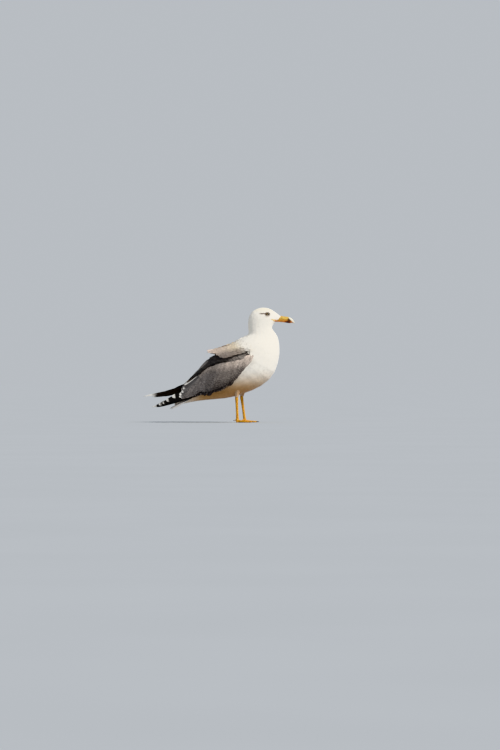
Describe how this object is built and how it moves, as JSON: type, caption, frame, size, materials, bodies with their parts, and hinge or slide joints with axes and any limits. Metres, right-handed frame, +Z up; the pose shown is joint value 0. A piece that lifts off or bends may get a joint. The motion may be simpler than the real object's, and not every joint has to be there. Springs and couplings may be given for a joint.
{
  "type": "yellow-legged gull, standing",
  "caption": "Life-size standing white gull with slate-grey folded wings, black white-tipped primaries, yellow hooked bill and yellow webbed feet.",
  "frame": {"origin": "middle of the bird's bounding box, on the floor between its feet and its tail", "axes": "+X the way the bird faces, from tail to bill; +Y its left side; +Z up"},
  "size_m": [0.4648, 0.1364, 0.3558],
  "materials": {
    "plumage_body": "soft white body feathers over flesh",
    "tail_feathers": "white vaned feathers",
    "wing_feathers": "slate-grey overlapping coverts",
    "primary_feathers": "black flight feathers with white tips",
    "bill_horn": "smooth yellow horn",
    "eyeball": "wet and clear over a pale iris",
    "leg_skin": "scaly yellow skin",
    "claw_horn": "dark horn"
  },
  "bodies": {
    "root": {"head": "plumage_body", "neck": "plumage_body", "trunk": "plumage_body", "rump": "plumage_body", "tail": "tail_feathers", "bill_upper": "bill_horn", "bill_lower": "bill_horn", "eye_left": "eyeball", "eye_right": "eyeball", "scapulars_left": "wing_feathers", "scapulars_right": "wing_feathers", "wing_left": "wing_feathers", "wing_right": "wing_feathers", "primaries_left": "primary_feathers", "primaries_right": "primary_feathers", "shank_left": "plumage_body", "shank_right": "plumage_body", "tarsus_left": "leg_skin", "tarsus_right": "leg_skin", "foot_left": "leg_skin", "foot_right": "leg_skin", "claw_left_inner": "claw_horn", "claw_left_middle": "claw_horn", "claw_left_outer": "claw_horn", "claw_left_hind": "claw_horn", "claw_right_inner": "claw_horn", "claw_right_middle": "claw_horn", "claw_right_outer": "claw_horn", "claw_right_hind": "claw_horn"}
  },
  "joints": []
}
